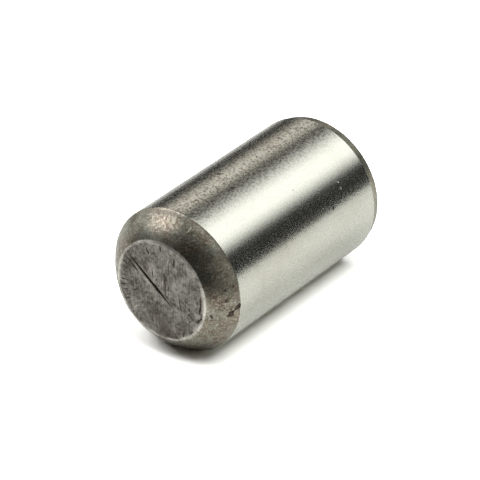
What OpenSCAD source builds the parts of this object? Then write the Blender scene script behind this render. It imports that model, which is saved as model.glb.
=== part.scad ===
// Hardened and ground dowel pin, 7/16 x 3/4 inch, crowned at one end and with a lead chamfer at the other.
// It stands on its lead end, with its axis on Z and the crown end up. Millimetres.

/* [Body] */
// Nominal diameter
nominal_d = 11.1125; // [9:0.0125:20]
// How far the ground diameter is over the nominal one, for the press fit
oversize = 0.005; // [0:0.001:0.03]
// Overall length, from end face to end face
length = 19.05; // [12:0.05:60]

/* [Crown end] */
// Diameter of the flat end face, inside its worn rim
face_d = 7.45; // [5:0.05:8.5]
// Height of the crown, from the end face down to the ground body
crown_h = 1.9; // [1:0.05:4]
// Width of the worn rim round the end face, along the radius
rim_w = 0.18; // [0.05:0.01:0.3]
// Drop of the worn rim, along the axis
rim_h = 0.06; // [0.02:0.01:0.12]

/* [Lead end] */
// Height of the lead chamfer
lead_h = 0.77; // [0.3:0.01:2]
// Angle of the lead chamfer from the axis, in degrees
lead_angle = 14.5; // [4:0.5:16]

/* [Gouge across the crown face] */
// Length of the gouge, where it breaks the face
gouge_l = 4.8; // [2:0.1:5.6]
// Width of the gouge at its middle
gouge_w = 0.18; // [0.08:0.01:0.4]
// Depth of the gouge at its middle
gouge_depth = 0.06; // [0.03:0.005:0.15]
// Middle of the gouge from the axis, along X
gouge_x = 0.95; // [-1.2:0.05:1.2]
// Middle of the gouge from the axis, along Y
gouge_y = -0.48; // [-1.2:0.05:1.2]
// Direction of the gouge from X, in degrees
gouge_turn = -39; // [-90:1:90]

/* [Hidden] */

$fn = 360;

body_r = (nominal_d + oversize) / 2;

// The lead chamfer takes the body down to the tip
tip_r = body_r - lead_h * tan(lead_angle);

// The worn rim falls in a straight line from the face to the crown
face_r = face_d / 2;
rim_r = face_r + rim_w;
rim_slope = rim_h / rim_w;

// The crown is a zone of one sphere centred on the axis. It passes through the
// top edge of the ground body and the outer edge of the rim.
zone_h = crown_h - rim_h;
centre_drop = (pow(body_r, 2) - pow(rim_r, 2) - pow(zone_h, 2)) / (2 * zone_h);
crown_r = norm([body_r, centre_drop]);
crown_z = length - crown_h - centre_drop;

// A sharp wheel that dips into the face by the gouge's depth leaves a cut of the gouge's length
wheel_r = pow(gouge_l, 2) / (8 * gouge_depth) + gouge_depth / 2;
wheel_flank = gouge_w / (2 * gouge_depth);

// Half of the pin's section: what the lathe leaves between the two chamfered ends
module blank_section() {
    polygon([
        [0, 0],
        [tip_r, 0],
        [body_r, lead_h],
        [body_r, length - rim_slope * (body_r - face_r)],
        [face_r, length],
        [0, length],
    ]);
}

// Half of the pin's section, with the crown turned on the blank
module pin_section() {
    intersection() {
        blank_section();
        union() {
            square([body_r, crown_z]);
            translate([0, crown_z])
                circle(r = crown_r);
        }
    }
}

// The cut that crosses the crown face: a shallow V that runs out at both ends
module gouge_cut() {
    translate([gouge_x, gouge_y, length - gouge_depth + wheel_r])
        rotate([0, 0, gouge_turn])
            rotate([90, 0, 0])
                rotate_extrude()
                    polygon([
                        [wheel_r, 0],
                        [wheel_r - 4 * gouge_depth, 4 * gouge_depth * wheel_flank],
                        [wheel_r - 4 * gouge_depth, -4 * gouge_depth * wheel_flank],
                    ]);
}

module dowel_pin() {
    color([0.62, 0.62, 0.60])
        difference() {
            rotate_extrude()
                pin_section();
            gouge_cut();
        }
}

dowel_pin();
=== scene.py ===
# %% [markdown]
# A hardened and ground steel dowel pin, a short round that holds two machine parts in line. The packed
# CAD solid gives its sizes and its place, and this script gives its looks: a bright ground body, a
# crowned end that kept the dark skin of its heat treatment, and a scratched end face with a gouge. New
# materials on the CAD solid would be the short way, but the wear is real relief that breaks up every
# reflection, so a new piece with that relief in its mesh stands for the solid. Everything is in metres,
# in the CAD model's frame: the pin's axis is Z, and its crown is up.

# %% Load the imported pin
import math

import bpy
from mathutils import Matrix, Vector


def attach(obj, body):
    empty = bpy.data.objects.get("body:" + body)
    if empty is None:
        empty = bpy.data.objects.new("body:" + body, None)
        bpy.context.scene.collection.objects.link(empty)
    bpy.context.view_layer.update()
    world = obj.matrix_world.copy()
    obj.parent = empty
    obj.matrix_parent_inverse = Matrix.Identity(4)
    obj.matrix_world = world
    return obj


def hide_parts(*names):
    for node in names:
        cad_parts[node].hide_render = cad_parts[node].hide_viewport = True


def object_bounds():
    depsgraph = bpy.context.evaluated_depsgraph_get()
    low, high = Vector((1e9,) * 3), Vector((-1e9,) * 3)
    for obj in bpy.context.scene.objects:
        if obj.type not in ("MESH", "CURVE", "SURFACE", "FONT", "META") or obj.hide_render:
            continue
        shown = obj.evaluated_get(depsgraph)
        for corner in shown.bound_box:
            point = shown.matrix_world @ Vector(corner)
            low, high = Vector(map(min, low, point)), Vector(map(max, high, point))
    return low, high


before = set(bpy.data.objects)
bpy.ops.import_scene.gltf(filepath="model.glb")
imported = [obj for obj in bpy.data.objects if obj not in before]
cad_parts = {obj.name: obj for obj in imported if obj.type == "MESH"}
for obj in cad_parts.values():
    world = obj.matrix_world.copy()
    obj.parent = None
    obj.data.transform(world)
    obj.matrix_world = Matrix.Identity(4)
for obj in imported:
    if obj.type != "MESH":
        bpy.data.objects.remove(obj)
cad_low, cad_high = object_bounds()
MM = 0.001
BODY_R = max(cad_high.x, cad_high.y, -cad_low.x, -cad_low.y)
LENGTH = cad_high.z - cad_low.z
AXIS = Vector((0, 0, 1))
print("body radius %.3f mm, length %.3f mm" % (BODY_R / MM, LENGTH / MM))

# %% [markdown]
# The pin's two ends repeat the sizes that the solid was made from: the flat end face, its worn rim, the
# crown, and the lead chamfer that lets the pin into its hole. The crown is a zone of one sphere centred
# on the axis, as a form tool turns it, so its radius follows from the two circles that it joins and the
# height between them.

# %% Sizes of the two ends
FACE_D = 7.45 * MM
RIM_W = 0.18 * MM
RIM_H = 0.06 * MM
CROWN_H = 1.9 * MM
LEAD_H = 0.77 * MM
LEAD_ANGLE = math.radians(14.5)

FACE_R = FACE_D / 2
RIM_R = FACE_R + RIM_W
RIM_Z = LENGTH - RIM_H
BODY_TOP = LENGTH - CROWN_H
TIP_R = BODY_R - LEAD_H * math.tan(LEAD_ANGLE)
ZONE_H = RIM_Z - BODY_TOP
centre_drop = (BODY_R ** 2 - RIM_R ** 2 - ZONE_H ** 2) / (2 * ZONE_H)
CROWN_RADIUS = math.hypot(BODY_R, centre_drop)
CROWN_CENTRE = BODY_TOP - centre_drop
print("crown radius %.3f mm, tip radius %.3f mm" % (CROWN_RADIUS / MM, TIP_R / MM))


def crown_r(z):
    """Radius of the crown at a height."""
    return math.sqrt(CROWN_RADIUS ** 2 - (z - CROWN_CENTRE) ** 2)


# %% [markdown]
# In the photograph the pin lies on a white table, seen from 30 degrees above it with a long lens. Here
# the pin stands on its lead end, so the camera is turned instead: its up is the frame's -Y, and the table
# is the plane that touches the pin's side at +Y. The four numbers of the camera come from fitting it to
# the pin's edges in the photograph: the end face, the crown's edge, both sides and the far rim.

# %% Camera at the photograph's angle
PITCH = math.radians(30.35)
TURN = math.radians(36.397)
DISTANCE = 241.67 * MM
LENS = 251.64
SENSOR = 36
AIM = Vector((0, 0.26, 9.74)) * MM
NEAR_CLIP = 10 * MM
PHOTO_UP = Vector((0, -1, 0))

look = Vector((
    math.sin(TURN) * math.cos(PITCH),
    math.sin(PITCH),
    -math.cos(TURN) * math.cos(PITCH),
))
right = look.cross(PHOTO_UP).normalized()
up = right.cross(look)
bpy.ops.object.select_all(action="DESELECT")
bpy.ops.object.camera_add(location=AIM - look * DISTANCE)
camera = bpy.context.object
camera.name = "camera"
camera.rotation_mode = "QUATERNION"
camera.rotation_quaternion = Matrix((right, up, -look)).transposed().to_quaternion()
camera.data.sensor_width = SENSOR
camera.data.lens = LENS
camera.data.clip_start = NEAR_CLIP
bpy.context.scene.camera = camera
bpy.context.scene.view_settings.view_transform = "Standard"
print("camera at", [round(c / MM, 1) for c in camera.location], "mm")

# %% [markdown]
# Materials are built from nodes. One small function adds a node, sets it and links it, so that a finish
# reads as a list of what feeds what. Another turns a colour as it looks on the screen, in hex, to the
# linear value that a shader works with, and a third opens a material's empty node tree. A Mix node's
# sockets for numbers and for colours share their names, so they are told apart by their place in the row.


# %% Helpers for materials
FACTOR = 0
NUMBER_A = 2
NUMBER_B = 3
COLOUR_A = 6
COLOUR_B = 7


def linear(hex_colour):
    """An sRGB hex colour as a linear RGBA."""
    parts = [int(hex_colour[i:i + 2], 16) / 255 for i in (1, 3, 5)]
    return [c / 12.92 if c <= 0.04045 else ((c + 0.055) / 1.055) ** 2.4 for c in parts] + [1.0]


def add_node(tree, kind, inputs=None, **settings):
    """Adds a node. inputs gives its sockets a value, an output, or a node for its first output in use."""
    made = tree.nodes.new("ShaderNode" + kind)
    for name, value in settings.items():
        setattr(made, name, value)
    for socket, value in (inputs or {}).items():
        if isinstance(value, bpy.types.Node):
            value = next(output for output in value.outputs if output.enabled)
        if isinstance(value, bpy.types.NodeSocket):
            tree.links.new(value, made.inputs[socket])
        else:
            made.inputs[socket].default_value = value
    return made


def open_tree(holder):
    """The emptied node tree of a material or a world."""
    holder.use_nodes = True
    holder.node_tree.nodes.clear()
    return holder.node_tree


print("mid grey is %.3f in linear light" % linear("#808080")[0])

# %% [markdown]
# The pin lies on a white sheet. The photographer exposed for the steel, so the sheet came out pure white,
# and only the deepest part of the pin's shadow still shows. A lamp bright enough for that would also
# flood every mirror image on the steel. So the sheet is matt white paper to the steel, and to the camera
# the same paper a stop brighter. It is as deep as the steel mirrors it, and it is clear from behind,
# where no camera could stand, so that the pin can be looked at from all sides.

# %% White sheet
SHEET_WIDTH = 1.6
SHEET_NEAR = 0.040
SHEET_FAR = 0.075
PAPER = "#E1E1DF"
OVEREXPOSED = 2.1

bpy.ops.object.select_all(action="DESELECT")
bpy.ops.mesh.primitive_plane_add(size=1)
sheet = bpy.context.object
sheet.name = "white_sheet"
away = Vector((math.sin(TURN), 0, -math.cos(TURN)))
sheet.matrix_world = (
    Matrix.Translation(away * (SHEET_FAR - SHEET_NEAR) / 2 + Vector((0, BODY_R, 0)))
    @ Matrix((right, away, PHOTO_UP)).transposed().to_4x4()
    @ Matrix.Diagonal((SHEET_WIDTH, SHEET_FAR + SHEET_NEAR, 1, 1))
)

material = bpy.data.materials.new("matt_white_paper")
sheet.data.materials.append(material)
tree = open_tree(material)
rays = add_node(tree, "LightPath")
side = add_node(tree, "NewGeometry")
overexposed = [c * OVEREXPOSED for c in linear(PAPER)[:3]] + [1.0]
tone = add_node(tree, "Mix", {
    FACTOR: rays.outputs["Is Camera Ray"], COLOUR_A: linear(PAPER), COLOUR_B: overexposed,
}, data_type="RGBA")
paper = add_node(tree, "BsdfDiffuse", {"Color": tone})
clear = add_node(tree, "BsdfTransparent")
one_sided = add_node(tree, "MixShader", {0: side.outputs["Backfacing"], 1: paper, 2: clear})
add_node(tree, "OutputMaterial", {"Surface": one_sided})
print("sheet at y = %.2f mm, %.0f mm deep" % (BODY_R / MM, (SHEET_FAR + SHEET_NEAR) / MM))

# %% [markdown]
# Steel shows what stands round it, so the room matters as much as the lamps. A lit room would grey the
# dark bands of the pin, and a black one would hide its shape. The studio is nearly dark, and only the
# camera sees it white. It lights nothing matt either, or the shadow under the pin would turn from nearly
# black to grey.

# %% Room
ROOM = 0.03

world = bpy.data.worlds.new("studio")
bpy.context.scene.world = world
tree = open_tree(world)
rays = add_node(tree, "LightPath")
room = add_node(tree, "Background", {"Color": (1, 1, 1, 1), "Strength": ROOM})
white = add_node(tree, "Background", {"Color": (1, 1, 1, 1), "Strength": OVEREXPOSED})
seen = add_node(tree, "MixShader", {0: rays.outputs["Is Camera Ray"], 1: room, 2: white})
add_node(tree, "OutputWorld", {"Surface": seen})
world.cycles_visibility.diffuse = False
print("room at %.0f%% of white" % (ROOM * 100))

# %% [markdown]
# The bands along the pin are mirror images of what hangs round it. An area light would do for a plain
# highlight, but it is evenly bright to its edge, and the bands here fade. So each softbox is a plane that
# glows, brightest inside and fading to its edges, as a lamp behind cloth does. Its tilt is its angle from
# straight over the pin, its half angle is half its width as the pin sees it, and low and high are its
# ends along the pin.


# %% A softbox
SOFTBOX_AWAY = 0.35


def along_pin(tilt, distance, low, high):
    """Place of a plane that faces the pin's axis. tilt is its angle from straight over it, towards +X."""
    a = math.radians(tilt)
    across = Vector((math.cos(a), math.sin(a), 0))
    out = Vector((math.sin(a), -math.cos(a), 0))
    middle = out * distance + AXIS * (low + high) / 2
    return Matrix.Translation(middle) @ Matrix((across, AXIS, out)).transposed().to_4x4()


def width_of(half_angle, distance):
    """How wide a plane is that takes up this angle on each side of its middle."""
    return 2 * distance * math.tan(math.radians(half_angle))


def softbox(name, tilt, half_angle, low, high, radiance, fade, fade_end, colour="#FFFFFF", roll=0):
    """A glowing cloth, seen only in reflections. fade and fade_end are how much fades at its edges."""
    bpy.ops.object.select_all(action="DESELECT")
    bpy.ops.mesh.primitive_plane_add(size=1)
    cloth = bpy.context.object
    cloth.name = name
    cloth.matrix_world = (
        along_pin(tilt, SOFTBOX_AWAY, low, high)
        @ Matrix.Rotation(math.radians(roll), 4, "Z")
        @ Matrix.Diagonal((width_of(half_angle, SOFTBOX_AWAY), high - low, 1, 1))
    )
    material = bpy.data.materials.new(name + "_cloth")
    cloth.data.materials.append(material)
    tree = open_tree(material)
    place = add_node(tree, "TexCoord")
    xyz = add_node(tree, "SeparateXYZ", {0: place.outputs["Object"]})
    level = radiance
    edges = ((0, -0.5, fade[0]), (0, 0.5, -fade[1]), (1, -0.5, fade_end[0]), (1, 0.5, -fade_end[1]))
    for axis, edge, run in edges:
        if run == 0:
            continue
        ramp = add_node(tree, "MapRange", {
            "Value": xyz.outputs[axis], "From Min": edge, "From Max": edge + run,
        }, interpolation_type="SMOOTHSTEP")
        level = add_node(tree, "Math", {0: ramp, 1: level}, operation="MULTIPLY")
    glow = add_node(tree, "Emission", {"Color": linear(colour), "Strength": level})
    add_node(tree, "OutputMaterial", {"Surface": glow})
    cloth.visible_camera = False
    cloth.visible_shadow = False
    cloth.visible_diffuse = False
    print("%s: %.0f mm wide" % (name, width_of(half_angle, SOFTBOX_AWAY) / MM))


# %% [markdown]
# The overhead softbox makes the broad bright strip along the top of the body, and its soft edges are the
# strip's. The side card makes the dimmer, warmer band beside it, and the dark band between the two is the
# room. The side lamp stands only beside the crown and a little rolled: it makes the crown's highlight.
# The side wall lifts the crown's upper edge, and the front card the crown's lower side.

# %% The softboxes round the pin
softbox("overhead_softbox", tilt=-17, half_angle=43, low=-0.95, high=0.235, radiance=1.72,
        fade=(0.386, 0.509), fade_end=(0, 0.095))
softbox("side_card", tilt=50.5, half_angle=23.5, low=-0.95, high=0.03, radiance=1.04,
        fade=(0.33, 0.45), fade_end=(0, 0.05), colour="#FFF9F2")
softbox("side_lamp", tilt=46, half_angle=31, low=0.070, high=0.192, radiance=7.0,
        fade=(0.25, 0.40), fade_end=(0.4, 0.45), colour="#F8F8FC", roll=-24)
softbox("side_wall", tilt=76, half_angle=13, low=-0.06, high=0.10, radiance=1.4,
        fade=(0.3, 0.1), fade_end=(0.2, 0.5))
softbox("front_card", tilt=-72, half_angle=22, low=0.06, high=0.34, radiance=0.7,
        fade=(0.1, 0.2), fade_end=(0, 0.5))

# %% [markdown]
# The steel also mirrors the lit paper, and the pin's shadow on it. The glowing cloths are too wide to
# cast that shadow, so the paper has two lights of its own, which the steel doesn't mirror, or each band
# would show twice. Close to the line where the pin touches the paper, the pin hides all but the lowest
# part of the sky. So the key light's edge, 41 degrees from straight over the pin, is what sets how fast
# the shadow fades outwards. The lamp lights the paper from the other side, in front of the crown.

# %% Lights for the paper
PAPER_LIGHT_AWAY = 0.36


def paper_light(name, tilt, half_angle, low, high, radiance):
    """An area light that lights the paper and isn't mirrored by the steel."""
    data = bpy.data.lights.new(name, "AREA")
    data.shape = "RECTANGLE"
    data.size = width_of(half_angle, PAPER_LIGHT_AWAY)
    data.size_y = high - low
    data.energy = radiance * math.pi * data.size * data.size_y
    light = bpy.data.objects.new(name, data)
    bpy.context.scene.collection.objects.link(light)
    light.matrix_world = along_pin(tilt, PAPER_LIGHT_AWAY, low, high)
    light.visible_glossy = False
    light.visible_camera = False
    print("%s: %.2f W" % (name, data.energy))


paper_light("paper_key", tilt=-25, half_angle=16, low=-0.175, high=0.155, radiance=6.6)
paper_light("paper_lamp", tilt=34, half_angle=19, low=0.0, high=0.23, radiance=6.4)

# %% [markdown]
# The pin is turned on a lathe from one bar, so it is modelled as the lathe would: a disc is drawn up from
# the lead end ring by ring, and each ring is scaled to the radius that the tool left there. A spin of the
# half section would give the same round, but drawing it up leaves rings that can be placed where detail
# is needed: few on the plain ground body, and many on the crown and the face, because their marks are
# dents in the mesh. Where the crown meets the body, a real pin has its edge broken by a few hundredths of
# a millimetre, and that hair-thin ring is what catches the light there.

# %% A lathe in edit mode
SEGMENTS = 288
EDGE_BREAK = 0.03 * MM
NEAR_A_RING = EDGE_BREAK / 4

bpy.ops.object.select_all(action="DESELECT")
bpy.ops.mesh.primitive_circle_add(
    vertices=SEGMENTS, radius=TIP_R - EDGE_BREAK, fill_type="NGON", location=(0, 0, 0)
)
pin = bpy.context.object
pin.name = "ground_pin"
bpy.ops.object.mode_set(mode="EDIT")
bpy.ops.mesh.select_all(action="SELECT")
ring_at = [TIP_R - EDGE_BREAK, 0.0]


def draw_up(radius, z):
    """Extrudes the top face up to a height and scales it to a radius."""
    bpy.ops.mesh.extrude_region_move(TRANSFORM_OT_translate={"value": (0, 0, z - ring_at[1])})
    ratio = radius / ring_at[0]
    bpy.ops.transform.resize(value=(ratio, ratio, 1), center_override=(0, 0, z))
    ring_at[:] = [radius, z]


# %% Lead chamfer and ground body
LEAD_RINGS = 6
BODY_RINGS = 24

draw_up(TIP_R, EDGE_BREAK)
for i in range(1, LEAD_RINGS + 1):
    share = i / LEAD_RINGS
    draw_up(TIP_R + (BODY_R - TIP_R) * share, EDGE_BREAK + (LEAD_H - EDGE_BREAK) * share)
for i in range(1, BODY_RINGS + 1):
    draw_up(BODY_R, LEAD_H + (BODY_TOP - EDGE_BREAK - LEAD_H) * i / BODY_RINGS)
print("body drawn up to %.2f mm" % (ring_at[1] / MM))

# %% Crown, worn rim and end face
CROWN_RINGS = 20
FACE_RINGS = 30

crown_foot = BODY_TOP + EDGE_BREAK
draw_up(crown_r(crown_foot), crown_foot)
for i in range(1, CROWN_RINGS + 1):
    z = crown_foot + (RIM_Z - crown_foot) * i / CROWN_RINGS
    draw_up(crown_r(z), z)
draw_up(RIM_R - RIM_W / 2, LENGTH - RIM_H / 2)
draw_up(FACE_R, LENGTH)
for i in range(FACE_RINGS - 1, 0, -1):
    draw_up(FACE_R * i / FACE_RINGS, LENGTH)
bpy.ops.mesh.merge(type="CENTER")
print("crown drawn up to %.2f mm, face closed at its middle" % (ring_at[1] / MM))

# %% Rings on the lead face
LEAD_FACE_RINGS = 3

bpy.ops.mesh.select_all(action="DESELECT")
bpy.ops.object.mode_set(mode="OBJECT")
for polygon in pin.data.polygons:
    polygon.select = polygon.center.z < NEAR_A_RING
bpy.ops.object.mode_set(mode="EDIT")
bpy.ops.mesh.select_mode(type="FACE")
for i in range(LEAD_FACE_RINGS):
    bpy.ops.mesh.inset(thickness=TIP_R / (LEAD_FACE_RINGS + 1), depth=0)
bpy.ops.mesh.merge(type="CENTER")
bpy.ops.mesh.select_all(action="SELECT")
bpy.ops.mesh.normals_make_consistent(inside=False)
bpy.ops.object.mode_set(mode="OBJECT")
print("blank:", len(pin.data.polygons), "faces")

# %% [markdown]
# The heat treatment left a skin of scale on the crown and the face, and years among other parts knocked
# it about. That unevenness is a few hundredths of a millimetre deep, which is enough to break up a
# reflection. A bump in the material would shade it, but wouldn't move the pin's edge or reach the export.
# So two Displace modifiers sink the mesh by it, one with broad waves and one with small dings, and only
# on the vertices above the ground body. They only sink it, so the pin never grows out of its solid.

# %% Sink the skin of the worn end
WAVES = 0.9 * MM
WAVE_DEPTH = 0.022 * MM
WAVE_SHIFT = 3.0 * MM
DINGS = 0.28 * MM
DING_DEPTH = 0.006 * MM
DING_SHIFT = 11.0 * MM
START = BODY_TOP + 2 * EDGE_BREAK

worn_end = pin.vertex_groups.new(name="worn_end")
worn_end.add([v.index for v in pin.data.vertices if v.co.z > START], 1.0, "REPLACE")


def sink(name, grain, depth, shift):
    """Sinks the worn end by up to depth, by a pattern of this grain. shift moves the pattern along X."""
    texture = bpy.data.textures.new(name, "CLOUDS")
    texture.noise_scale = grain
    holder = bpy.data.objects.new(name + "_place", None)
    bpy.context.scene.collection.objects.link(holder)
    holder.location = (shift, 0, 0)
    bpy.context.view_layer.update()
    change = pin.modifiers.new(name, "DISPLACE")
    change.texture = texture
    change.texture_coords = "OBJECT"
    change.texture_coords_object = holder
    change.vertex_group = "worn_end"
    change.mid_level = 1.0
    change.strength = depth
    bpy.context.view_layer.objects.active = pin
    bpy.ops.object.modifier_apply(modifier=name)
    bpy.data.objects.remove(holder)


sink("broad_waves", WAVES, WAVE_DEPTH, WAVE_SHIFT)
sink("small_dings", DINGS, DING_DEPTH, DING_SHIFT)
print("worn end: %d vertices sunk" % sum(v.co.z > START for v in pin.data.vertices))

# %% [markdown]
# Each kind of steel that the eye can tell apart has its own finish and its own slot: the ground body, the
# crown and the lead end with their heat scale, the dull end face, the rim that wear laid bare, the
# gouge's fresh cut with painted shade in its colour, and old scratches that hold dirt. The first five
# follow from where a face is, and the cuts bring the last two.

# %% Slots for the finishes
FINISHES = (
    "ground_hardened_steel", "heat_scaled_crown", "dull_end_face", "worn_rim",
    "scaled_lead_end", "gouge_steel_and_shade", "soiled_scratch",
)
BODY, CROWN, FACE, RIM, LEAD, CUT, SOILED = range(len(FINISHES))

for name in FINISHES:
    pin.data.materials.append(bpy.data.materials.new(name))
for polygon in pin.data.polygons:
    z = polygon.center.z
    r = math.hypot(polygon.center.x, polygon.center.y)
    if z < LEAD_H:
        polygon.material_index = LEAD
    elif z < BODY_TOP + EDGE_BREAK / 2:
        polygon.material_index = BODY
    elif r > RIM_R - NEAR_A_RING:
        polygon.material_index = CROWN
    elif r > FACE_R - NEAR_A_RING:
        polygon.material_index = RIM
    else:
        polygon.material_index = FACE
for i, name in enumerate(FINISHES):
    print("%s: %d faces" % (name, sum(p.material_index == i for p in pin.data.polygons)))

# %% [markdown]
# The marks that can be told apart are cut one by one. Each is a spindle, a ball stretched to a point at
# both ends, that a Boolean modifier takes out of the steel: a long thin one leaves a gouge or a scratch,
# and a short fat one leaves a nick. Set above the surface, so that only its belly dips in, it leaves a
# cut with pointed ends, as a tool that lands and lifts does. One spindle with four sides and one with
# eight are made, and every mark is a copy of one of them. Four sides cut a clean V into the flat face,
# and eight cut a rounder dent into the crown and the body.

# %% A spindle for each mark
BELLY = 0.6
SPINDLE_RINGS = 24
FOUR_SIDES = 4
EIGHT_SIDES = 8

spindles = {}
for sides in (FOUR_SIDES, EIGHT_SIDES):
    bpy.ops.object.select_all(action="DESELECT")
    bpy.ops.mesh.primitive_uv_sphere_add(segments=sides, ring_count=SPINDLE_RINGS, radius=1)
    spindles[sides] = bpy.context.object
    spindles[sides].name = "spindle_%d_sides" % sides


def spindle(name, at, normal, run, size, sides=FOUR_SIDES):
    """A spindle over a point of the surface. run is the way it points, size its cut in millimetres."""
    length, width, depth = (c * MM for c in size)
    chord = math.sqrt(1 - BELLY ** 2)
    half = Vector((length / 2 / chord, width / 2 / (1 - BELLY), abs(depth) / (1 - BELLY)))
    lift = math.copysign(half.z * BELLY, depth)
    normal = normal.normalized()
    length_axis = (run - normal * run.dot(normal)).normalized()
    side_axis = normal.cross(length_axis)
    lay_down = Matrix(((0, 0, 1), (0, 1, 0), (-1, 0, 0))).to_4x4()
    tool = spindles[sides].copy()
    tool.data = spindles[sides].data.copy()
    tool.name = name
    bpy.context.scene.collection.objects.link(tool)
    tool.matrix_world = (
        Matrix.Translation(at + normal * lift)
        @ Matrix((length_axis, side_axis, normal)).transposed().to_4x4()
        @ Matrix.Diagonal((*half, 1))
        @ lay_down
    )
    bpy.context.view_layer.update()
    return tool


print("spindles:", [len(s.data.polygons) for s in spindles.values()], "faces")

# %% [markdown]
# A mark's place is easiest to say on its own surface: by x and y on the face, by the angle round the axis
# and the share of the way down on the crown, and by that angle and the height on the body. Each function
# turns such a place, and the mark's turn on it, into a point, the direction that the surface faces there,
# and the direction that the mark runs in.


# %% Places on the pin
def direction(degrees):
    """A direction in the face's plane."""
    a = math.radians(degrees)
    return Vector((math.cos(a), math.sin(a), 0))


def around(normal, turn):
    """A direction in a round surface: 0 degrees runs round the pin, and 90 runs along it."""
    level = AXIS.cross(normal).normalized()
    a = math.radians(turn)
    return level * math.cos(a) + normal.cross(level) * math.sin(a)


def on_face(x, y, turn):
    """A place on the end face, in millimetres from the axis."""
    return Vector((x * MM, y * MM, LENGTH)), AXIS, direction(turn)


def on_lead(x, y, turn):
    """A place on the lead face, in millimetres from the axis. The face looks down."""
    return Vector((x * MM, y * MM, 0)), -AXIS, direction(turn)


def on_crown(azimuth, share, turn):
    """A place on the crown, from the face at share 0 to the body at 1."""
    top = math.acos(RIM_R / CROWN_RADIUS)
    foot = math.acos(BODY_R / CROWN_RADIUS)
    rise = top + (foot - top) * share
    normal = direction(azimuth) * math.cos(rise) + AXIS * math.sin(rise)
    return AXIS * CROWN_CENTRE + normal * CROWN_RADIUS, normal, around(normal, turn)


def on_body(azimuth, z, turn):
    """A place on the ground body, z in millimetres."""
    normal = direction(azimuth)
    return normal * BODY_R + AXIS * (z * MM), normal, around(normal, turn)


print("half way down the crown: z = %.2f mm" % (on_crown(azimuth=0, share=0.5, turn=0)[0].z / MM))

# %% [markdown]
# The spindles could be taken out one after another, but each Boolean reads the whole pin again, and that
# takes minutes. All of them joined into one mesh is quick, but where two overlap the Boolean can lose the
# whole pin. So they are sorted into passes in which no two touch, and each pass is one Boolean. What a
# spindle cuts takes the spindle's slot, so the cut's walls get their own finish.


# %% Cut in passes
def box_of(tool):
    """A tool's lowest and highest corners."""
    corners = [tool.matrix_world @ v.co for v in tool.data.vertices]
    return [min(c[k] for c in corners) for k in range(3)], [max(c[k] for c in corners) for k in range(3)]


def passes_of(tools):
    """Sorts the tools into passes in which no two of them touch."""
    passes = []
    for tool in tools:
        low, high = box_of(tool)
        for group in passes:
            if not any(all(low[k] < b[k] and high[k] > a[k] for k in range(3)) for _, a, b in group):
                group.append((tool, low, high))
                break
        else:
            passes.append([(tool, low, high)])
    return [[tool for tool, _, _ in group] for group in passes]


def cut(tools, slot, operation="DIFFERENCE"):
    """Takes the tools out of the pin, or adds them to it, in as few passes as they need."""
    passes = passes_of(tools)
    for group in passes:
        bpy.ops.object.select_all(action="DESELECT")
        for tool in group:
            tool.select_set(True)
        bpy.context.view_layer.objects.active = group[0]
        bpy.ops.object.transform_apply(location=True, rotation=True, scale=True)
        if len(group) > 1:
            bpy.ops.object.join()
        tool = bpy.context.object
        bpy.ops.object.mode_set(mode="EDIT")
        bpy.ops.mesh.select_all(action="SELECT")
        bpy.ops.mesh.normals_make_consistent(inside=False)
        bpy.ops.object.mode_set(mode="OBJECT")
        for name in FINISHES:
            tool.data.materials.append(bpy.data.materials[name])
        for polygon in tool.data.polygons:
            polygon.material_index = slot
        change = pin.modifiers.new("marks", "BOOLEAN")
        change.operation = operation
        change.object = tool
        change.solver = "EXACT"
        bpy.context.view_layer.objects.active = pin
        bpy.ops.object.modifier_apply(modifier=change.name)
        bpy.data.objects.remove(tool)
    count = len(pin.data.polygons)
    print("%s: %d tools in %d passes, %d faces" % (operation.lower(), len(tools), len(passes), count))


# %% [markdown]
# The gouge is the mark that the solid has too: something hard slid across the face and tore a ragged
# groove, and pushed up a low burr beside it. A single spindle would leave a groove as even as a milled
# one. So shorter bites on both sides of its line make its edges ragged and its depth uneven. The burr is
# a spindle set below the surface and added, so that only its back stands up.

# %% The gouge and its burr
SUNK = (WAVE_DEPTH + DING_DEPTH) / 2
GOUGE_AT = (0.95, -0.48)
GOUGE_TURN = -39
GOUGE_SIZE = (4.9, 0.22, 0.08)
# along and across the gouge, then length, width and depth, in millimetres
BURR_PLACE = (0.85, 0.24)
BURR_SIZE = (2.0, 0.13, -0.022)
BURR_SKEW = -2
GOUGE_BITES = (
    (-0.72, 0.00, 2.1, 0.27, 0.09), (-1.15, 0.04, 0.6, 0.15, 0.06), (-0.55, -0.06, 0.5, 0.17, 0.07),
    (-0.15, 0.05, 0.6, 0.14, 0.06), (1.15, 0.00, 2.0, 0.18, 0.06), (0.55, -0.05, 0.5, 0.13, 0.05),
    (1.25, 0.04, 0.5, 0.12, 0.05), (1.85, -0.03, 0.6, 0.10, 0.04),
)

gouge_at, face_normal, gouge_run = on_face(*GOUGE_AT, GOUGE_TURN)
gouge_at = gouge_at - face_normal * SUNK
gouge_side = direction(GOUGE_TURN + 90)


def by_gouge(along, across):
    """A point of the face, in millimetres along and across the gouge."""
    return gouge_at + (gouge_run * along + gouge_side * across) * MM


burr_run = direction(GOUGE_TURN + BURR_SKEW)
cut([spindle("burr", by_gouge(*BURR_PLACE), face_normal, burr_run, BURR_SIZE)], RIM, "UNION")
tools = [spindle("gouge", gouge_at, face_normal, gouge_run, GOUGE_SIZE)]
for along, across, *size in GOUGE_BITES:
    tools.append(spindle("bite", by_gouge(along, across), face_normal, gouge_run, size))
cut(tools, CUT)

# %% [markdown]
# The end face is where the pin is driven in and where it knocks against others, so it carries the most
# marks. The old ones are dark with dirt, and the newest are bright. A row of short ticks near the rim is
# what a tool leaves that chattered round the edge. They follow one circle, so a loop places them. The
# rest have no rule and are written down one by one, as they look in the photograph.

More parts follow.
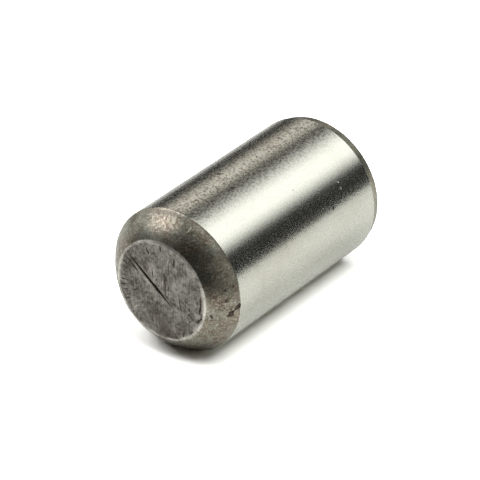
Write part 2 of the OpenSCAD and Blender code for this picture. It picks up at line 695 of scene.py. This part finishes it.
# %% Marks of the end face
# x, y and turn in the face's plane, then length, width and depth, all in millimetres and degrees
FACE_MARKS = (
    (-0.32, -0.75, 94, 1.3, 0.16, 0.05), (-0.42, 0.10, 88, 0.6, 0.08, 0.025),
    (-1.13, -2.60, 86, 0.8, 0.20, 0.05), (-0.66, -2.10, 88, 1.3, 0.07, 0.02),
    (1.17, -2.82, -58, 0.55, 0.16, 0.04), (0.05, -3.40, 92, 0.65, 0.13, 0.04),
    (-3.40, 0.35, 80, 0.85, 0.20, 0.05), (-3.44, -0.30, 93, 0.80, 0.15, 0.045),
    (-3.27, 1.32, 42, 0.50, 0.20, 0.05), (-3.50, 1.08, 20, 0.25, 0.15, 0.04),
    (-2.72, 1.42, 60, 0.30, 0.15, 0.035), (-2.42, 1.12, 50, 0.34, 0.15, 0.035),
    (-2.50, 1.66, 30, 0.25, 0.12, 0.03), (-2.45, 0.75, 70, 0.30, 0.10, 0.03),
    (-0.55, 3.35, 80, 0.60, 0.20, 0.05), (-0.10, 3.10, 65, 0.45, 0.16, 0.035),
    (-2.00, 2.70, 84, 0.70, 0.10, 0.03), (-1.60, 0.30, 96, 1.6, 0.06, 0.02),
    (2.42, -1.18, -36, 1.1, 0.16, 0.035), (0.20, -0.42, 75, 0.5, 0.07, 0.02),
    (0.75, -1.15, 82, 0.5, 0.08, 0.02), (1.75, 1.55, 35, 0.9, 0.06, 0.02),
    (2.35, 0.75, 40, 0.8, 0.09, 0.025), (1.30, 0.62, 28, 0.7, 0.07, 0.02),
    (0.80, 2.30, 88, 1.1, 0.06, 0.02), (-1.05, 1.60, 92, 0.9, 0.06, 0.02),
    (2.95, 1.60, 30, 0.45, 0.10, 0.03), (-0.28, -1.30, 100, 0.45, 0.16, 0.05),
    (0.42, -0.75, 60, 0.35, 0.09, 0.03), (-2.60, 1.22, 10, 0.30, 0.11, 0.03),
    (-2.30, 1.40, 80, 0.26, 0.10, 0.03), (-1.92, 2.95, 88, 0.40, 0.14, 0.04),
    (2.10, 0.60, 55, 0.50, 0.08, 0.025),
)
# the same for scratches that laid the steel bare
FACE_SCRATCHES = (
    (-0.50, -0.10, 92, 0.75, 0.07, 0.02), (0.18, -0.42, 103, 0.45, 0.09, 0.025),
    (-0.14, -0.62, 88, 0.60, 0.06, 0.02), (-0.48, 0.18, 60, 0.25, 0.06, 0.02),
    (0.62, -1.40, 80, 0.70, 0.07, 0.02), (0.95, -1.55, 84, 0.60, 0.07, 0.02),
    (-0.62, -2.55, 88, 0.50, 0.06, 0.02), (1.55, 0.25, 30, 0.55, 0.06, 0.02),
    (2.30, 2.10, 45, 0.60, 0.06, 0.02),
)
TICK_RADIUS = 3.28
TICK_TURNS = (24, 17, 10, 3, -3, -9, -15, -22, -29)
TICK_SIZE = (0.65, 0.08, 0.03)
TICK_SKEW = 4


def spindles_for(marks, name, place_on, below=0.0, sides=FOUR_SIDES):
    """A spindle for each mark of a surface, set below the true surface by how far that is sunk."""
    made = []
    for *where, turn, length, width, depth in marks:
        at, normal, run = place_on(*where, turn)
        made.append(spindle(name, at - normal * below, normal, run, (length, width, depth), sides))
    return made


ticks = [(*(direction(turn) * TICK_RADIUS).xy, turn + TICK_SKEW, *TICK_SIZE) for turn in TICK_TURNS]
soiled = spindles_for(FACE_MARKS, "scratch", on_face, SUNK)
soiled += spindles_for(ticks, "tick", on_face, SUNK)
bright = spindles_for(FACE_SCRATCHES, "scratch", on_face, SUNK)
print("end face: %d soiled marks, %d bright ones" % (len(soiled), len(bright)))

# %% [markdown]
# The photograph doesn't show the lead face. It goes into the hole first and lands on its floor, so it
# gets a few scratches and knocks of the same kind, far fewer than the face that is hammered.

# %% Marks of the lead face
LEAD_MARKS = (
    (1.9, 2.6, 25, 1.2, 0.10, 0.025), (-2.8, 0.9, -40, 0.8, 0.12, 0.03),
    (0.4, -3.3, 70, 1.4, 0.08, 0.02), (-1.2, -1.6, 10, 0.5, 0.16, 0.04),
    (3.4, -1.2, 55, 0.6, 0.14, 0.035), (-3.5, -2.4, -65, 0.7, 0.10, 0.03),
    (0.9, 0.5, -20, 0.9, 0.07, 0.02), (-0.6, 4.1, 5, 0.5, 0.12, 0.03),
)

soiled += spindles_for(LEAD_MARKS, "scratch", on_lead)
print("lead face: %d marks" % len(LEAD_MARKS))

# %% [markdown]
# The crown is as hard as the body, but it stands out where things hit it. Its plainest mark is a chain of
# nicks with a scratch through them, where the corner of another part skidded across it. The ground body
# has only small pits, and a few pecks so fresh that they are still bright.

# %% Marks of the crown and the body
# azimuth, share of the way from the face to the body, turn, then length, width and depth
CROWN_MARKS = (
    (172.5, 0.715, -60, 0.36, 0.25, 0.08), (178.2, 0.915, -55, 0.42, 0.18, 0.07),
    (175.4, 0.81, -43, 1.30, 0.06, 0.04), (173.8, 0.745, -8, 0.40, 0.15, 0.06),
    (171.6, 0.750, 35, 0.32, 0.14, 0.06), (176.9, 0.860, -15, 0.26, 0.12, 0.05),
    (170.4, 0.645, -20, 0.20, 0.10, 0.04), (176.6, 0.700, 70, 0.24, 0.06, 0.025),
    (179.6, 0.95, 20, 0.24, 0.12, 0.05), (169.4, 0.165, 30, 0.50, 0.09, 0.035),
    (-165.7, 0.58, 20, 0.18, 0.13, 0.035), (-164.4, 0.83, 70, 0.18, 0.13, 0.035),
    (-175.3, 0.57, 10, 0.32, 0.13, 0.035), (10.0, 0.60, 40, 0.45, 0.14, 0.04),
    (60.0, 0.35, 80, 0.50, 0.08, 0.02), (40.0, 0.45, -20, 0.60, 0.15, 0.04),
    (95.0, 0.70, 65, 0.45, 0.14, 0.04),
)
CROWN_SCRATCHES = (
    (-107.6, 0.69, 88, 0.90, 0.045, 0.015), (-110.0, 0.77, 84, 0.50, 0.035, 0.012),
    (178.5, 0.58, 62, 0.40, 0.030, 0.010), (-178.3, 0.84, 58, 0.35, 0.040, 0.012),
    (164.0, 0.82, 72, 0.35, 0.030, 0.010),
)
# azimuth, height, turn, then length, width and depth
BODY_PITS = (
    (-157.3, 5.40, 40, 0.22, 0.16, 0.02), (-80.8, 11.07, 40, 0.36, 0.12, 0.02),
    (-78.4, 9.10, 20, 0.28, 0.10, 0.02), (-85.0, 4.30, 60, 0.32, 0.09, 0.02),
    (-91.4, 15.10, 70, 0.20, 0.10, 0.02), (-152.3, 11.55, 90, 0.26, 0.07, 0.02),
    (-20.0, 6.20, 30, 0.28, 0.10, 0.02), (35.0, 12.4, 75, 0.30, 0.09, 0.02),
    (120.0, 9.0, 15, 0.25, 0.10, 0.02),
)
BODY_PECKS = (
    (-147.8, 3.90, 20, 0.19, 0.13, 0.02), (-142.8, 3.86, 70, 0.14, 0.10, 0.02),
    (-129.3, 8.15, 10, 0.12, 0.09, 0.01),
)

soiled += spindles_for(CROWN_MARKS, "nick", on_crown, SUNK, EIGHT_SIDES)
soiled += spindles_for(BODY_PITS, "pit", on_body, sides=EIGHT_SIDES)
bright += spindles_for(CROWN_SCRATCHES, "scratch", on_crown, SUNK, EIGHT_SIDES)
bright += spindles_for(BODY_PECKS, "peck", on_body, sides=EIGHT_SIDES)
cut(soiled, SOILED)
cut(bright, RIM)
for blank in spindles.values():
    bpy.data.objects.remove(blank)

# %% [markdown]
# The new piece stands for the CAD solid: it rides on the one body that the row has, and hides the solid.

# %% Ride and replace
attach(pin, "root")
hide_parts("dowel_pin")
print("ground_pin:", len(pin.data.vertices), "vertices")

# %% [markdown]
# Every finish is made from noise, because heat scale, grit and wear have no order of their own. A noise's
# values bunch up in its middle, so a Map Range stretches the part between two of them to the full range
# before it mixes two colours. The patterns read Object coordinates, in metres, so a scale of one over a
# real size gives a pattern of that size. One picture point is 0.07 mm of the pin, and the finest patterns
# are drawn no finer than that. Every finish here is a metal, so they all end in the same shader: fully
# metallic, its colour in the base colour, and its IOR left at the default.


# %% A start and an end for each finish
def open_finish(name):
    """The empty node tree of one of the pin's finishes, and its Object coordinates."""
    tree = open_tree(bpy.data.materials[name])
    place = add_node(tree, "TexCoord")
    return tree, place.outputs["Object"]


def two_tones(tree, pattern, low, high, dark, light):
    """Two colours mixed by a pattern: dark where it is under low, and light where it is over high."""
    share = add_node(tree, "MapRange", {"Value": pattern, "From Min": low, "From Max": high})
    return add_node(tree, "Mix", {
        FACTOR: share, COLOUR_A: linear(dark), COLOUR_B: linear(light),
    }, data_type="RGBA")


def close_finish(tree, tone, roughness, relief, more=None):
    """Ends a finish as a metal. more gives the shader's sockets that only one finish sets."""
    bsdf = add_node(tree, "BsdfPrincipled", {
        "Base Color": tone, "Metallic": 1.0, "Roughness": roughness, "Normal": relief, **(more or {}),
    })
    add_node(tree, "OutputMaterial", {"Surface": bsdf})


print("finishes:", ", ".join(FINISHES))

# %% [markdown]
# The body is hardened bearing-grade steel, ground between a wheel and a plate: nearly a mirror, with fine
# lines that run round it. That gives the eye long clean bands with slightly grainy edges, blurred along
# the pin more than round it. The blur is the shader's anisotropy, turned a quarter turn from the tangent
# that runs round the axis. The grit's real scratches are about 0.01 mm wide, and the wheel's lines 0.05
# mm apart. Both would vanish here, so they are drawn coarser, at 0.12 and 0.16 mm.

# %% Ground hardened steel: grit and wheel lines
GRIT = 0.12 * MM
WHEEL_PITCH = 0.16 * MM
WHEEL_RUN = 2.5 * MM
WHEEL_SHARE = 0.35
GRIND_RELIEF = 0.0055 * MM
SMOOTHEST = 0.205
ROUGHEST = 0.32
GROUND_DARK = "#C4C5B9"
GROUND_LIGHT = "#DADBD0"

tree, place = open_finish("ground_hardened_steel")
grit = add_node(tree, "TexNoise", {"Vector": place, "Scale": 1 / GRIT, "Detail": 3.0, "Roughness": 0.6})
run = add_node(tree, "Mapping", {"Vector": place, "Scale": (1 / WHEEL_RUN, 1 / WHEEL_RUN, 1 / WHEEL_PITCH)})
lines = add_node(tree, "TexNoise", {"Vector": run, "Scale": 1.0, "Detail": 2.0})
height = add_node(tree, "Mix", {FACTOR: WHEEL_SHARE, NUMBER_A: grit, NUMBER_B: lines})
relief = add_node(tree, "Bump", {"Height": height, "Distance": GRIND_RELIEF})
rough = add_node(tree, "MapRange", {
    "Value": grit, "From Min": 0.35, "From Max": 0.70, "To Min": SMOOTHEST, "To Max": ROUGHEST,
})
ground = two_tones(tree, grit, 0.36, 0.64, GROUND_DARK, GROUND_LIGHT)
print("grit %.2f mm, wheel lines %.2f mm apart" % (GRIT / MM, WHEEL_PITCH / MM))

# %% [markdown]
# Two things dull the ground body. Old oil dried on it in wide faint patches. And the side that faces -Y
# has fine dark brown grains, which crowd together at azimuth -84 degrees and thin out round the sides.
# That is the side where the side card's band lies, and the grains dim and brown it. The direction outward
# from the axis, set against the direction of that side, says how far round a point is.

# %% Ground hardened steel: oil, dark grains and shader
STAIN = 3.5 * MM
STAIN_COLOUR = "#B7B1A4"
STAIN_COVER = 0.35
DARK_SIDE_AT = -84
DARK_SIDE_REACH = 36
DARK_SIDE_CORE = DARK_SIDE_REACH / 3
DARK_GRAIN_COLOUR = "#6E665C"
DARK_GRAIN_COVER = 0.85
DARK_GRAIN = 0.19 * MM
GRIND_BLUR = 0.7
QUARTER_TURN = 0.25
WITHOUT_Z = (1, 1, 0)

stain = add_node(tree, "TexNoise", {"Vector": place, "Scale": 1 / STAIN, "Detail": 3.0})
stained = add_node(tree, "MapRange", {
    "Value": stain, "From Min": 0.50, "From Max": 0.75, "To Max": STAIN_COVER,
})
tone = add_node(tree, "Mix", {
    FACTOR: stained, COLOUR_A: ground, COLOUR_B: linear(STAIN_COLOUR),
}, data_type="RGBA")
# how far round a point is from azimuth -84, where the side card's band lies; fine dark brown grains gather
# there
flat = add_node(tree, "VectorMath", {0: place, 1: WITHOUT_Z}, operation="MULTIPLY")
outward = add_node(tree, "VectorMath", {0: flat}, operation="NORMALIZE")
facing = add_node(tree, "VectorMath", {0: outward, 1: direction(DARK_SIDE_AT)}, operation="DOT_PRODUCT")
dark_side = add_node(tree, "MapRange", {
    "Value": facing.outputs["Value"], "From Min": math.cos(math.radians(DARK_SIDE_REACH)),
    "From Max": math.cos(math.radians(DARK_SIDE_CORE)), "To Max": DARK_GRAIN_COVER,
}, interpolation_type="SMOOTHSTEP")
dark_grain = add_node(tree, "TexNoise", {"Vector": place, "Scale": 1 / DARK_GRAIN, "Detail": 3.0, "Roughness": 0.7})
grains = add_node(tree, "MapRange", {"Value": dark_grain, "From Min": 0.46, "From Max": 0.60})
dulled = add_node(tree, "Math", {0: dark_side, 1: grains}, operation="MULTIPLY")
tone = add_node(tree, "Mix", {
    FACTOR: dulled, COLOUR_A: tone, COLOUR_B: linear(DARK_GRAIN_COLOUR),
}, data_type="RGBA")
tangent = add_node(tree, "Tangent", direction_type="RADIAL", axis="Z")
close_finish(tree, tone, rough, relief, {
    "Anisotropic": GRIND_BLUR, "Anisotropic Rotation": QUARTER_TURN, "Tangent": tangent,
})
print("tarnish %d degrees to each side of azimuth %d" % (DARK_SIDE_REACH, DARK_SIDE_AT))

# %% [markdown]
# The crown and the lead end are steel with the skin of the quench still on it: a thin grey-brown oxide,
# in patches about a millimetre across, mottled inside them, and rubbed through in specks to the brighter
# steel. That gives the eye a dark satin metal that breaks its highlights into soft flecks. The oxide is
# thinnest along the edges, where everything rubs it, so the share of bright steel grows towards them
# along a ragged line. Oxide of this thickness leans a little green or red, and a much wider noise tints
# it so faintly that it is felt more than seen. The lead end was also faced on the lathe. Its tool's rings
# are about 0.1 mm apart, and are drawn 0.22 mm apart to show.

# %% Heat scale: its parts
PATCH = 1.1 * MM
MOTTLE = 0.34 * MM
SPECK = 0.13 * MM
MOTTLE_SHARE = 0.55
SPECK_WEAR = 0.75
SPECK_SHARE = 0.45
HEAT_TINT = 1.3 * MM
COOL_TINT = "#FAFFFA"
WARM_TINT = "#FFFAF6"
EDGE_WANDER = 0.12 * MM
SCALE_RELIEF = 0.008 * MM
GLOSS_SWING = 0.06


def worn_share(tree, level, noise, wander, edge):
    """How far wear has gone, along a ragged line. edge is where it starts, where it ends, and its most."""
    start, end, most = edge
    drift = add_node(tree, "MapRange", {
        "Value": noise, "From Min": 0.3, "From Max": 0.7, "To Min": -wander, "To Max": wander,
    })
    ragged = add_node(tree, "Math", {0: level, 1: drift}, operation="ADD")
    return add_node(tree, "MapRange", {
        "Value": ragged, "From Min": start, "From Max": end, "To Max": most,
    }, interpolation_type="SMOOTHSTEP")


print("scale in patches of %.1f mm, mottled at %.2f mm" % (PATCH / MM, MOTTLE / MM))


# %% Heat scaled crown and lead end
FACING_PITCH = 0.22 * MM
FACING_RELIEF = 0.006 * MM
# a Wave texture of scale 1 has rings this far apart
WAVE_PERIOD = 2 * math.pi / 20


def scaled(name, dark, middle, light, roughness, wear=(), faced=False):
    """Steel with its heat scale. wear lists the edges by height where it is rubbed off."""
    tree, place = open_finish(name)
    patch = add_node(tree, "TexNoise", {"Vector": place, "Scale": 1 / PATCH, "Detail": 2.0})
    mottle = add_node(tree, "TexNoise", {
        "Vector": place, "Scale": 1 / MOTTLE, "Detail": 4.0, "Roughness": 0.65,
    })
    speck = add_node(tree, "TexNoise", {"Vector": place, "Scale": 1 / SPECK, "Detail": 3.0})
    both = add_node(tree, "Mix", {FACTOR: MOTTLE_SHARE, NUMBER_A: patch, NUMBER_B: mottle})
    skin = two_tones(tree, both, 0.40, 0.60, dark, middle)
    share = add_node(tree, "MapRange", {
        "Value": speck, "From Min": 0.50, "From Max": 0.72, "To Max": SPECK_WEAR,
    })
    for edge in wear:
        ragged = add_node(tree, "TexNoise", {"Vector": place, "Scale": 1 / MOTTLE, "Detail": 4.0})
        xyz = add_node(tree, "SeparateXYZ", {0: place})
        rubbed = worn_share(tree, xyz.outputs["Z"], ragged, EDGE_WANDER, edge)
        share = add_node(tree, "Math", {0: share, 1: rubbed}, operation="ADD", use_clamp=True)
    tone = add_node(tree, "Mix", {
        FACTOR: share, COLOUR_A: skin, COLOUR_B: linear(light),
    }, data_type="RGBA")
    heat = add_node(tree, "TexNoise", {"Vector": place, "Scale": 1 / HEAT_TINT, "Detail": 2.0})
    tint = two_tones(tree, heat, 0.38, 0.62, COOL_TINT, WARM_TINT)
    tone = add_node(tree, "Mix", {
        FACTOR: 1.0, COLOUR_A: tone, COLOUR_B: tint,
    }, data_type="RGBA", blend_type="MULTIPLY")
    height = add_node(tree, "Mix", {FACTOR: SPECK_SHARE, NUMBER_A: mottle, NUMBER_B: speck})
    relief = add_node(tree, "Bump", {"Height": height, "Distance": SCALE_RELIEF})
    if faced:
        rings = add_node(tree, "TexWave", {
            "Vector": place, "Scale": WAVE_PERIOD / FACING_PITCH, "Distortion": 2.0, "Detail": 2.0,
        }, wave_type="RINGS", rings_direction="Z")
        relief = add_node(tree, "Bump", {
            "Height": rings.outputs["Fac"], "Distance": FACING_RELIEF, "Normal": relief,
        })
    gloss = add_node(tree, "MapRange", {
        "Value": mottle, "From Min": 0.35, "From Max": 0.65,
        "To Min": roughness + GLOSS_SWING, "To Max": roughness - GLOSS_SWING,
    })
    close_finish(tree, tone, gloss, relief)
    print("%s: %d nodes" % (name, len(tree.nodes)))


# the height where the wear starts, the height where it ends, and its most
FOOT_WEAR = (BODY_TOP + 0.60 * MM, BODY_TOP, 0.15)
TOP_WEAR = (RIM_Z - 0.10 * MM, RIM_Z, 0.20)
scaled("heat_scaled_crown", dark="#6A5F52", middle="#8E8D81", light="#C5C1B5", roughness=0.335,
       wear=(FOOT_WEAR, TOP_WEAR))
scaled("scaled_lead_end", dark="#77756A", middle="#9C9A8B", light="#C8C6B8", roughness=0.38,
       faced=True)

# %% [markdown]
# The end face was sawn or turned, scaled by the heat, and then rubbed dull. That gives the eye a
# grey-brown, matt surface with short scratches in three directions, dark stains and pale scuffs. The
# scratches are noises stretched along their direction. Real ones are about 0.03 mm wide, and are drawn
# 0.11 mm wide to show at all. The stains and the scuffs stand at the places that the photograph shows, as
# soft round spots whose edge a noise breaks up. Towards its rim the face is rubbed bright again.

# %% Dull end face: scratches and grain
SCRATCH_WIDTH = 0.11 * MM
SCRATCH_RUN = 0.9 * MM
SCRATCH_TURNS = (4, -16, 50)
FACE_GRAIN = 0.24 * MM
# how much each further layer covers of those before it: two sets of scratches, then the grain
LAYER_SHARES = (0.45, 0.30, 0.55)
PATCH_SHARE = 0.25
FACE_DARK = "#554F49"
FACE_LIGHT = "#A09D95"

tree, place = open_finish("dull_end_face")
layers = []
for turn in SCRATCH_TURNS:
    lay = add_node(tree, "Mapping", {
        "Vector": place, "Rotation": (0, 0, math.radians(turn)),
        "Scale": (1 / SCRATCH_WIDTH, 1 / SCRATCH_RUN, 1 / SCRATCH_RUN),
    })
    layers.append(add_node(tree, "TexNoise", {"Vector": lay, "Scale": 1.0, "Detail": 3.0}))
grain = add_node(tree, "TexNoise", {
    "Vector": place, "Scale": 1 / FACE_GRAIN, "Detail": 5.0, "Roughness": 0.7,
})
layers.append(grain)
scratched = layers[0]
for layer, share in zip(layers[1:], LAYER_SHARES):
    scratched = add_node(tree, "Mix", {FACTOR: share, NUMBER_A: scratched, NUMBER_B: layer})
patch = add_node(tree, "TexNoise", {"Vector": place, "Scale": 1 / PATCH, "Detail": 3.0})
mixed = add_node(tree, "Mix", {FACTOR: PATCH_SHARE, NUMBER_A: scratched, NUMBER_B: patch})
face = two_tones(tree, mixed, 0.43, 0.57, FACE_DARK, FACE_LIGHT)
print("scratches %.2f mm wide, in %d directions" % (SCRATCH_WIDTH / MM, len(SCRATCH_TURNS)))

# %% Dull end face: stains, scuffs and shader
STAIN_SPOT = "#4A433C"
SCUFF = "#C9C4BC"
SPOT_CORE = 0.2
LEAST_COVER = 0.35
# x, y, radius in millimetres, and how much of the surface is covered
FACE_STAINS = (
    (-0.35, 3.25, 1.10, 0.95), (-1.90, 2.30, 0.90, 0.50), (2.55, -1.20, 0.70, 0.40),
    (2.30, 1.15, 0.80, 0.30), (-2.65, 1.30, 0.60, 0.40), (1.70, -2.60, 0.70, 0.30),
    (-0.25, -1.00, 0.45, 0.35), (0.30, 2.40, 2.00, 0.45),
)
FACE_SCUFFS = (
    (0.85, -1.60, 0.65, 0.55), (-3.15, 2.15, 0.60, 0.70), (-3.15, 0.95, 0.40, 0.50),
    (-0.60, -3.50, 0.80, 0.35), (-2.60, -2.60, 0.70, 0.35), (1.40, 3.40, 0.50, 0.40),
    (0.10, -0.30, 0.35, 0.40), (-1.60, -0.60, 1.00, 0.15),
)
# the radius where the rim's wear starts, the radius where it ends, and its most
RIM_WEAR = (FACE_R - 0.10 * MM, FACE_R + 0.05 * MM, 0.50)
RIM_WANDER = 0.15 * MM
FACE_RELIEF = 0.028 * MM
FACE_ROUGHNESS = 0.50


def spots(tree, place, table, ragged):
    """Soft round spots of the end face, with an edge broken up by a noise."""
    total = 0.0
    for x, y, radius, cover in table:
        away = add_node(tree, "VectorMath", {0: place, 1: (x * MM, y * MM, LENGTH)}, operation="DISTANCE")
        spot = add_node(tree, "MapRange", {
            "Value": away.outputs["Value"], "From Min": radius * MM, "From Max": radius * SPOT_CORE * MM,
            "To Max": cover,
        }, interpolation_type="SMOOTHSTEP")
        total = add_node(tree, "Math", {0: spot, 1: total}, operation="MAXIMUM")
    broken = add_node(tree, "MapRange", {
        "Value": ragged, "From Min": 0.35, "From Max": 0.60, "To Min": LEAST_COVER,
    })
    return add_node(tree, "Math", {0: total, 1: broken}, operation="MULTIPLY")


stain = spots(tree, place, FACE_STAINS, patch)
tone = add_node(tree, "Mix", {
    FACTOR: stain, COLOUR_A: face, COLOUR_B: linear(STAIN_SPOT),
}, data_type="RGBA")
scuff = spots(tree, place, FACE_SCUFFS, grain)
flat = add_node(tree, "VectorMath", {0: place, 1: WITHOUT_Z}, operation="MULTIPLY")
radius = add_node(tree, "VectorMath", {0: flat}, operation="LENGTH")
rim_wear = worn_share(tree, radius.outputs["Value"], patch, RIM_WANDER, RIM_WEAR)
rubbed = add_node(tree, "Math", {0: scuff, 1: rim_wear}, operation="MAXIMUM")
tone = add_node(tree, "Mix", {
    FACTOR: rubbed, COLOUR_A: tone, COLOUR_B: linear(SCUFF),
}, data_type="RGBA")
relief = add_node(tree, "Bump", {"Height": scratched, "Distance": FACE_RELIEF})
close_finish(tree, tone, FACE_ROUGHNESS, relief)
print("dull_end_face: %d stains, %d scuffs" % (len(FACE_STAINS), len(FACE_SCUFFS)))

# %% [markdown]
# Where wear or a cut went through the skin, the steel itself shows. On the rim it is rubbed bright in
# patches, which draws the light line round the face. In the gouge it is torn and rough, and its colour is
# darkened as painted shade, since little light gets in. Old scratches hold oil and dust, a brown
# near-black. All three are one recipe with other colours. Their specks are a little wider than those of
# the heat scale, because rubbing joins them.


# %% Bare steel
BARE_SPECK = 1.6 * SPECK
TORN_RELIEF = 0.010 * MM
RUBBED_RELIEF = 0.012 * MM


def bare(name, dark, light, roughness, depth, patchy=0.0):
    """Steel laid bare. patchy is how much of its tone changes in wide patches and not in specks."""
    tree, place = open_finish(name)
    speck = add_node(tree, "TexNoise", {"Vector": place, "Scale": 1 / BARE_SPECK, "Detail": 4.0})
    patch = add_node(tree, "TexNoise", {"Vector": place, "Scale": 1 / PATCH, "Detail": 2.0})
    both = add_node(tree, "Mix", {FACTOR: patchy, NUMBER_A: speck, NUMBER_B: patch})
    tone = two_tones(tree, both, 0.38, 0.62, dark, light)
    relief = add_node(tree, "Bump", {"Height": speck, "Distance": depth})
    close_finish(tree, tone, roughness, relief)
    print("%s: roughness %.2f" % (name, roughness))


bare("worn_rim", dark="#8A857C", light="#DEDBD2", roughness=0.38, depth=RUBBED_RELIEF, patchy=0.55)
# the gouge's dark tones are painted shade inside the groove, on torn rough steel
bare("gouge_steel_and_shade", dark="#38322D", light="#595149", roughness=0.55, depth=TORN_RELIEF)
bare("soiled_scratch", dark="#423934", light="#665D55", roughness=0.52, depth=TORN_RELIEF)

# %% [markdown]
# The mesh is made of flat faces, and shading smooths over the edges between those that nearly agree. The
# limit matters here. At 16 degrees or more, the shading would run over the broken edge of the crown and
# draw a false line there, and at 15 or more it would round off the lead chamfer, which stands at 14.5
# degrees to the body.

# %% Smooth shading
SMOOTH_BELOW = math.radians(13)

bpy.ops.object.select_all(action="DESELECT")
pin.select_set(True)
bpy.context.view_layer.objects.active = pin
bpy.ops.object.shade_smooth_by_angle(angle=SMOOTH_BELOW)
print("edges up to %.0f degrees are smooth" % math.degrees(SMOOTH_BELOW))
